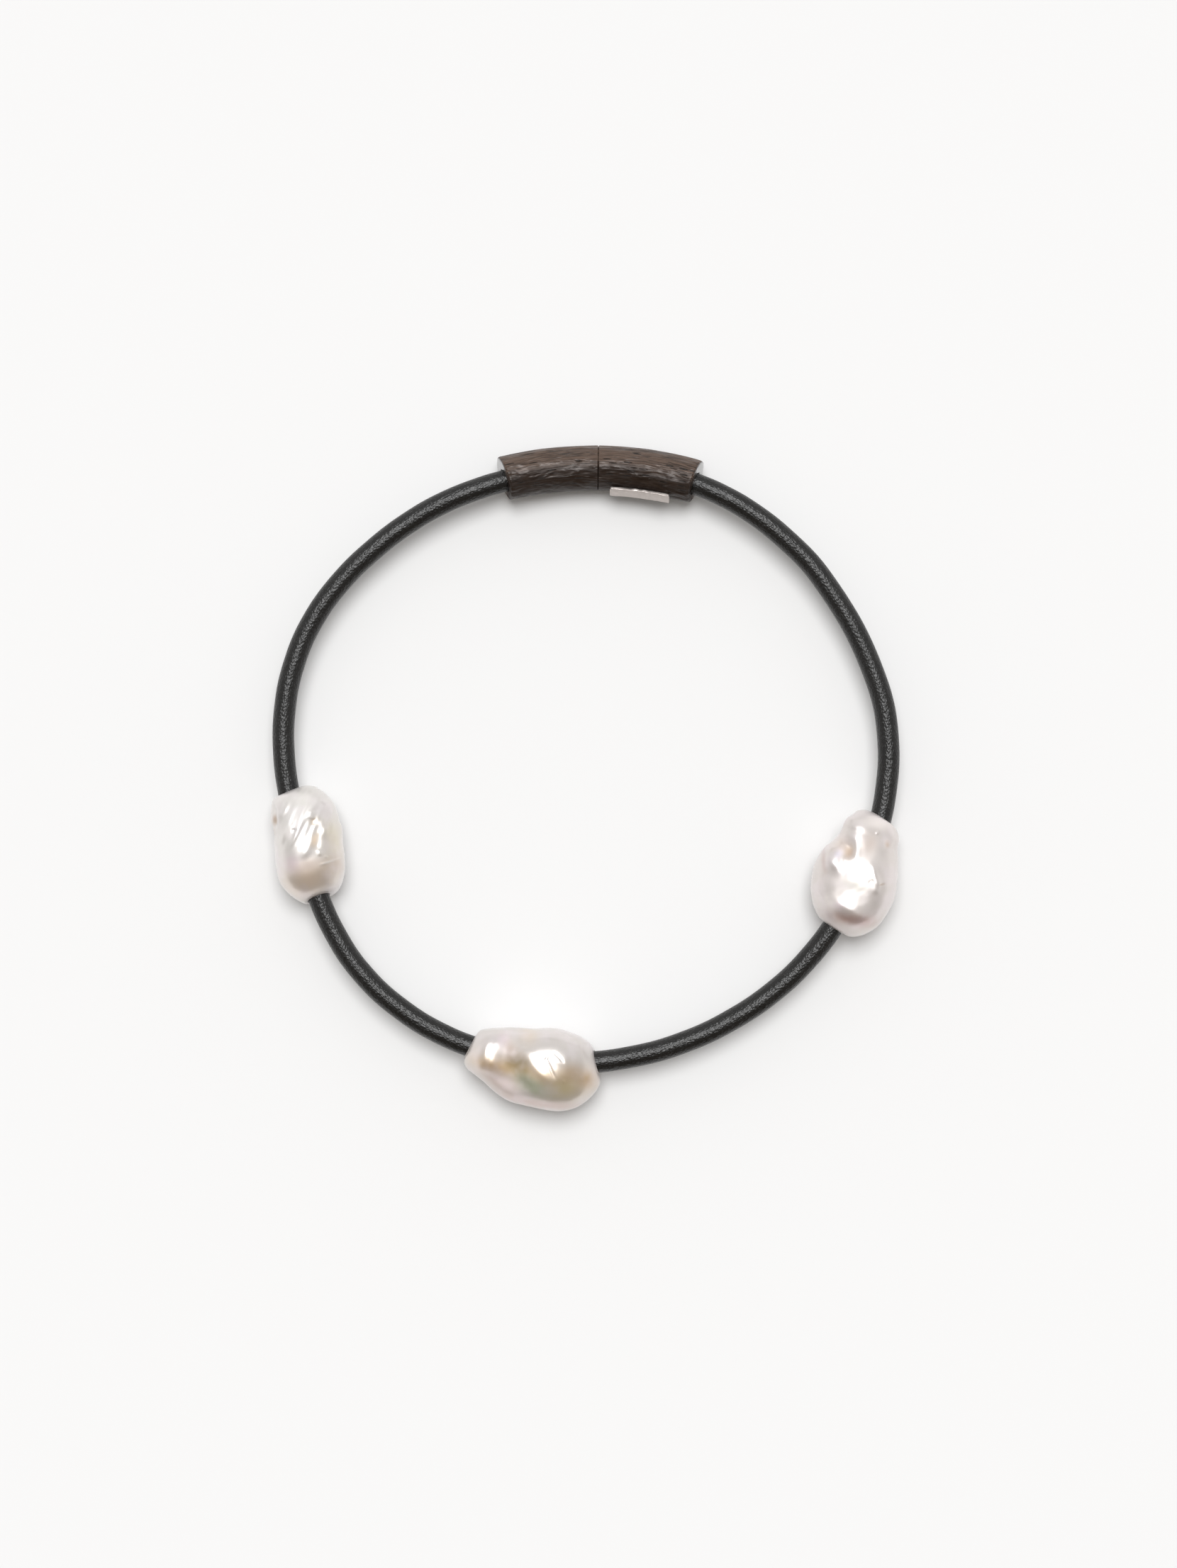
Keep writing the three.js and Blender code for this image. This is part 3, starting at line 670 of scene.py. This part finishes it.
# %% [markdown]
# ## The silver plate
#
# The plate is a small flat bar that is bent along the hollow side, on a
# narrower foot. A cube is stretched to its size, its corners are rounded and
# its edges eased, and cuts along its length let it bend. A little noise in its
# width makes the long edges wavy, as a hand with a file leaves them.

# %% Silver plate
PLATE_START, PLATE_END = 2.85, 17.3
PLATE_DROP = math.radians(4)
PLATE_WIDTH, PLATE_THICKNESS = 3.1, 0.68
FOOT_WIDTH, FOOT_HEIGHT = 1.8, 0.4
PLATE_GAP = 0.25
PLATE_CUTS = 48


def bar_of(length, width, thickness, lowest):
    """A flat bar that stands on z = lowest."""
    shape = bmesh.new()
    place = Matrix.Translation((0, 0, lowest + thickness / 2))
    size = Matrix.Diagonal((length, width, thickness, 1))
    bmesh.ops.create_cube(shape, size=1, matrix=place @ size)
    return shape


def round_off(shape, edges, radius, segments):
    bmesh.ops.bevel(
        shape, geom=edges, offset=radius, affect="EDGES", segments=segments, profile=0.5,
        material=-1,
    )


def make_plate():
    plate_length = PLATE_END - PLATE_START
    shape = bar_of(plate_length, PLATE_WIDTH, PLATE_THICKNESS, FOOT_HEIGHT)
    corners = [
        edge for edge in shape.edges
        if abs(edge.verts[0].co.z - edge.verts[1].co.z) > PLATE_THICKNESS / 2
    ]
    round_off(shape, corners, radius=0.35, segments=5)
    rim = [edge for edge in shape.edges if edge.calc_face_angle(0) > 0.8]
    round_off(shape, rim, radius=0.1, segments=3)
    foot = bar_of(plate_length - 1, FOOT_WIDTH, FOOT_HEIGHT + 0.1, 0)
    spare = bpy.data.meshes.new("foot")
    foot.to_mesh(spare)
    foot.free()
    shape.from_mesh(spare)
    bpy.data.meshes.remove(spare)
    for cut in range(1, PLATE_CUTS):
        bmesh.ops.bisect_plane(
            shape, geom=shape.verts[:] + shape.edges[:] + shape.faces[:],
            plane_co=((cut / PLATE_CUTS - 0.5) * plate_length, 0, 0), plane_no=(1, 0, 0),
        )
    flat = np.array([vertex.co for vertex in shape.verts])
    middle = (PLATE_START + PLATE_END) / 2
    back = BEND_RADIUS - SEAM_RADIUS - PLATE_GAP
    along = (flat[:, 0] + middle) * BEND_RADIUS / back
    share = along / BEND_RADIUS / math.radians(RIGHT_END)
    height = flat[:, 2] + SEAM_RADIUS + (END_RADIUS - SEAM_RADIUS) * share**2 + PLATE_GAP
    across = flat[:, 1] * (1 + 0.10 * lumps(flat, 1.1))
    hollow = height * math.cos(PLATE_DROP) - across * math.sin(PLATE_DROP)
    sideways = height * math.sin(PLATE_DROP) + across * math.cos(PLATE_DROP)
    placed = bend_to_clasp(along, hollow, sideways, 1.0)
    memories = {"straight": flat * MM}
    return make_piece(shape, placed, memories, "plate", "tag_plate")


plate = make_plate()

# %% [markdown]
# ## Writing materials as arithmetic
#
# A procedural material is a sum of patterns. Wrapping a socket in a small class
# with +, - and * lets that sum be written as it is thought, and each operator
# adds its Math node. All other nodes come from one method.

# %% Shader arithmetic
class Signal:
    """A number that varies over a surface."""

    def __init__(self, finish, socket):
        self.finish, self.socket = finish, socket

    def _with(self, operation, first, second):
        return self.finish.node("Math", {"operation": operation}, {0: first, 1: second})

    def __add__(self, other):
        return self._with("ADD", self, other)

    def __sub__(self, other):
        return self._with("SUBTRACT", self, other)

    def __rsub__(self, other):
        return self._with("SUBTRACT", other, self)

    def __mul__(self, other):
        return self._with("MULTIPLY", self, other)

    __radd__ = __add__
    __rmul__ = __mul__


class Finish:
    """A material whose nodes are made by calls and arithmetic."""

    def __init__(self, name, constants):
        self.material = bpy.data.materials.new(name)
        self.material.use_nodes = True
        self.tree = self.material.node_tree
        self.surface = self.tree.nodes["Principled BSDF"]
        self.set(constants)

    def node(self, kind, settings, values, output=0):
        made = self.tree.nodes.new("ShaderNode" + kind)
        for name, setting in settings.items():
            if name == "stops":
                made.color_ramp.elements.remove(made.color_ramp.elements[1])
                made.color_ramp.elements[0].position = setting[0][0]
                made.color_ramp.elements[0].color = (*setting[0][1], 1)
                for position, colour in setting[1:]:
                    made.color_ramp.elements.new(position).color = (*colour, 1)
            else:
                setattr(made, name, setting)
        for name, value in values.items():
            self.feed(made.inputs[name], value)
        return Signal(self, made.outputs[output])

    def feed(self, socket, value):
        if isinstance(value, Signal):
            self.tree.links.new(value.socket, socket)
        else:
            socket.default_value = value

    def set(self, values):
        for name, value in values.items():
            self.feed(self.surface.inputs[name], value)

    def straight(self, stretch=(1, 1, 1)):
        """The piece's straight coordinates in millimetres, stretched."""
        place = self.node("Attribute", {"attribute_name": "straight"}, {}, "Vector")
        scale = tuple(1000 / side for side in stretch)
        return self.node("Mapping", {}, {"Vector": place, "Scale": scale})

    def noise(self, place, size, detail=2.0, distortion=0.0):
        values = {"Vector": place, "Scale": 1 / size, "Detail": detail}
        return self.node("TexNoise", {}, {**values, "Distortion": distortion})

    def cells(self, place, size, output="Distance"):
        values = {"Vector": place, "Scale": 1 / size}
        return self.node("TexVoronoi", {"feature": "F1"}, values, output)

    def between(self, signal, low, high):
        """0 below low, 1 above high, and a soft step between them."""
        values = {"Value": signal, "From Min": low, "From Max": high}
        return self.node("MapRange", {"interpolation_type": "SMOOTHSTEP"}, values)

    def blend(self, mask, first, second):
        """The first colour where the mask is 0, and the second where it is 1."""
        first, second = (
            (*colour, 1) if isinstance(colour, tuple) else colour for colour in (first, second)
        )
        return self.node("Mix", {"data_type": "RGBA"}, {0: mask, 6: first, 7: second}, 2)

    def relief(self, height):
        """A bump whose height is in millimetres."""
        return self.node("Bump", {}, {"Height": height, "Distance": MM, "Strength": 1.0})

    def dress(self, *pieces):
        for piece in pieces:
            piece.data.materials.clear()
            piece.data.materials.append(self.material)


print("a finish starts as", Finish("trial", {}).surface.name)
bpy.data.materials.remove(bpy.data.materials["trial"])

# %% [markdown]
# ## Leather
#
# The black dye sits in a wax that cracks into tiny scales as the cord bends.
# Only the scales that face the light shine, so a band along the top looks
# speckled. Cells raise the scales, and fine pores rough up the gloss.

# %% Leather
leather = Finish("black_leather", {"Specular IOR Level": 0.5})
place = leather.straight((1.5, 1, 1))
wander = leather.noise(place, 1.4, 3.0)
scales = leather.cells(place, 0.46)
pores = leather.noise(place, 0.16, 2.0)
height = 0.085 * (1 - scales) + 0.035 * pores + 0.04 * leather.noise(place, 0.6, 2.0)
leather.set({
    "Base Color": leather.blend(wander, (0.003, 0.003, 0.003), (0.010, 0.009, 0.008)),
    "Roughness": 0.16 + 0.28 * pores,
    "Normal": leather.relief(height),
})
leather.dress(cord)

# %% [markdown]
# ## Nacre
#
# Nacre is a stack of thin clear plates over a white body. It mirrors its
# surroundings softly and tints them pink, green and gold. A partly metallic
# base gives the soft mirror, a coat gives the crisp one, and slow noise moves
# the tint about. Matt places lose both mirrors and get rougher.

# %% Nacre
nacre = Finish("nacre", {"Coat Roughness": 0.10})
# the tint carries the pearl's own tones and the painted reflection, shade and highlights placed with
# the skins
tint = nacre.node("Attribute", {"attribute_name": "tint"}, {}, "Color")
matt = nacre.node("Attribute", {"attribute_name": "matt"}, {}, "Vector")
matt = nacre.node("SeparateXYZ", {}, {0: matt})
cloud = nacre.noise(nacre.straight(), 5.0, 2.0)
ripple = nacre.noise(nacre.straight((1, 1, 0.6)), 1.1, 2.0)
nacre.set({
    "Base Color": nacre.blend(0.3 * nacre.between(cloud, 0.4, 0.7), tint, (0.90, 0.82, 0.86)),
    "Metallic": 0.6 * (1 - matt),
    "Roughness": 0.28 + 0.05 * ripple + 0.22 * matt,
    "Coat Weight": 0.5 * (1 - matt),
})
nacre.dress(*pearls)

# %% [markdown]
# ## Wood
#
# The wood is dark and open pored. Its fibres run along the rod, so every
# pattern is stretched that way: broad bands, fine fibres, shallow dents, a few
# long cracks, and the pores as short dark dashes. The hollow side, which is
# turned from the light, gets painted shade that makes it nearly black, with
# streaky edges from the bands. Handling has rubbed some patches smoother than
# the rest.
# The sawn end faces are polished and coated in their outer half.

# %% Wood
wood = Finish("dark_wood", {
    "Specular IOR Level": 0.42, "Specular Tint": (1.0, 0.93, 0.90, 1),
    "Coat Roughness": 0.06, "Coat IOR": 1.7,
})
straight = wood.straight()
hollow = wood.node("SeparateXYZ", {}, {0: straight}, "Y")
bands = wood.noise(wood.straight((12, 1, 1)), 1.2, 3.0, 0.3)
fibres = wood.noise(wood.straight((16, 1, 1)), 0.20, 3.0, 0.1)
dents = wood.noise(wood.straight((2.5, 1, 1)), 2.2, 2.0, 0.2)
# painted shade: the hollow side, turned from the light, is made nearly black, with streaky edges from
# the bands
shade_on_hollow_side = wood.between(hollow + 4.0 * bands, 3.2, 5.6)
pore_place = wood.straight((8, 1, 1))
chance = wood.cells(pore_place, 0.58, output="Color")
pores = 1 - wood.between(wood.cells(pore_place, 0.58), 0.15, 0.28)
pores = pores * wood.between(wood.node("SeparateColor", {}, {0: chance}), 0.40, 0.45)
rubbed = wood.between(wood.noise(wood.straight((4, 1, 1)), 1.3, 2.0, 0.4), 0.42, 0.58)
crack = wood.noise(wood.straight((34, 1, 1)), 1.1, 1.0, 0.0) - 0.5
crack = 1 - wood.between(wood.node("Math", {"operation": "ABSOLUTE"}, {0: crack}), 0.0, 0.016)
tone = wood.blend(wood.between(bands, 0.38, 0.62), (0.020, 0.012, 0.008), (0.082, 0.054, 0.040))
tone = wood.blend(wood.between(fibres, 0.40, 0.65), tone, (0.114, 0.075, 0.055))
# painted shade on the hollow side
tone = wood.blend(0.85 * shade_on_hollow_side, tone, (0.010, 0.005, 0.003))
tone = wood.blend(pores, tone, (0.005, 0.003, 0.002))
tone = wood.blend(0.7 * crack, tone, (0.006, 0.004, 0.003))
sawn = wood.node("Attribute", {"attribute_name": "sawn"}, {}, "Vector")
sawn = wood.node("SeparateXYZ", {}, {0: sawn}) * (1 - wood.between(hollow, -1.0, 2.0))
tone = wood.blend(sawn, tone, (0.05, 0.045, 0.04))
height = 0.022 * fibres + 0.12 * bands + 0.80 * dents - 0.20 * pores - 0.05 * crack
wood.set({
    "Base Color": tone,
    "Roughness": (0.28 + 0.08 * fibres + 0.16 * (1 - rubbed)) * (1 - 0.6 * sawn),
    "Coat Weight": 1.0 * sawn,
    "Normal": wood.relief(height * (1 - 0.9 * sawn)),
})
wood.dress(*halves)

# %% [markdown]
# ## Silver
#
# The plate is satin silver: a metal with fine scratches along its length and
# edges that were filed by hand.

# %% Silver
silver = Finish("satin_silver", {"Metallic": 1.0})
brush = silver.noise(silver.straight((10, 1, 1)), 0.12, 2.0)
dull = silver.noise(silver.straight((1.5, 1, 1)), 0.7, 3.0)
silver.set({
    "Base Color": silver.blend(dull, (0.42, 0.38, 0.355), (0.66, 0.60, 0.57)),
    "Roughness": 0.30 + 0.20 * dull,
    "Normal": silver.relief(0.012 * brush + 0.10 * dull),
})
silver.dress(plate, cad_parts["clasp_pin"])

# %% [markdown]
# ## Table and light
#
# The necklace lies on a plain pale table under one big soft light that stands a
# little towards the clasp. Its wide glow is painted on the world, and a broad
# sun in its middle gives the shadows. A grey room and a pale haze low down fill
# the rest, apart from the side away from the light. That is left dim, because
# gloss needs something dark to mirror.

# %% Table
# metres from its middle to its edges, to look endless
TABLE_REACH = 20


def add_table():
    surface = bmesh.new()
    bmesh.ops.create_grid(surface, x_segments=1, y_segments=1, size=TABLE_REACH)
    mesh = bpy.data.meshes.new("table")
    surface.to_mesh(mesh)
    surface.free()
    table = bpy.data.objects.new("table", mesh)
    scene.collection.objects.link(table)
    return table


paper = Finish("paper", {"Roughness": 0.9, "Specular IOR Level": 0.0})
paper.set({"Base Color": (0.85, 0.85, 0.85, 1)})
paper.dress(add_table())

# %% Light
# degrees towards the clasp, and across
BOX_TILT = 15
SUN_TILT, SUN_WIDTH = 16, 30


class Sky(Finish):
    """The world's light, painted with the same calls as a finish."""

    def __init__(self):
        world = bpy.data.worlds.new("studio")
        world.use_nodes = True
        scene.world = world
        self.tree = world.node_tree
        self.surface = self.tree.nodes["Background"]


sky = Sky()
direction = sky.node("TexCoord", {}, {}, "Generated")
tilt = {"Vector": direction, "Rotation": (math.radians(BOX_TILT), 0, 0)}
east, north, up = (
    sky.node("SeparateXYZ", {}, {0: sky.node("Mapping", {"vector_type": "POINT"}, tilt)}, axis)
    for axis in range(3)
)
aside, ahead = (
    sky.node("Math", {"operation": "ABSOLUTE"}, {
        0: sky.node("Math", {"operation": "DIVIDE"}, {0: side, 1: up}),
    })
    for side in (east, north)
)
box = (1 - sky.between(aside, 0.18, 0.50)) * (1 - sky.between(ahead, 0.28, 0.66))
box = box * sky.between(up, 0.0, 0.1)
heading = sky.node("VectorMath", {"operation": "MULTIPLY"}, {0: direction, 1: (1, 1, 0)})
heading = sky.node("VectorMath", {"operation": "NORMALIZE"}, {0: heading})
compass = sky.node("SeparateXYZ", {}, {0: heading}, "Y")
haze = 1 - sky.between(sky.node("SeparateXYZ", {}, {0: direction}, "Z"), 0.0, 0.5)
room = sky.blend(sky.between(compass, -0.1, 0.8), (0.49, 0.48, 0.47), (0.64, 0.64, 0.64))
room = sky.blend(haze, room, (0.81, 0.80, 0.79))
room = sky.blend(sky.between(compass, -0.35, -0.80), room, (0.18, 0.155, 0.125))
glow = sky.blend(box, room, (1.06, 1.08, 1.10))
seen = sky.node("LightPath", {}, {}, "Is Camera Ray")
sky.set({"Color": sky.blend(seen, glow, (0.93, 0.93, 0.93)), "Strength": 1.0})
scene.view_settings.view_transform = "Standard"


def add_sun(strength, tilt, width):
    data = bpy.data.lights.new("softbox", "SUN")
    data.energy = strength
    data.angle = math.radians(width)
    sun = bpy.data.objects.new("softbox", data)
    sun.rotation_euler = (-math.radians(tilt), 0, 0)
    scene.collection.objects.link(sun)


add_sun(strength=1.90, tilt=SUN_TILT, width=SUN_WIDTH)
print("the sun stands", SUN_TILT, "degrees towards the clasp")
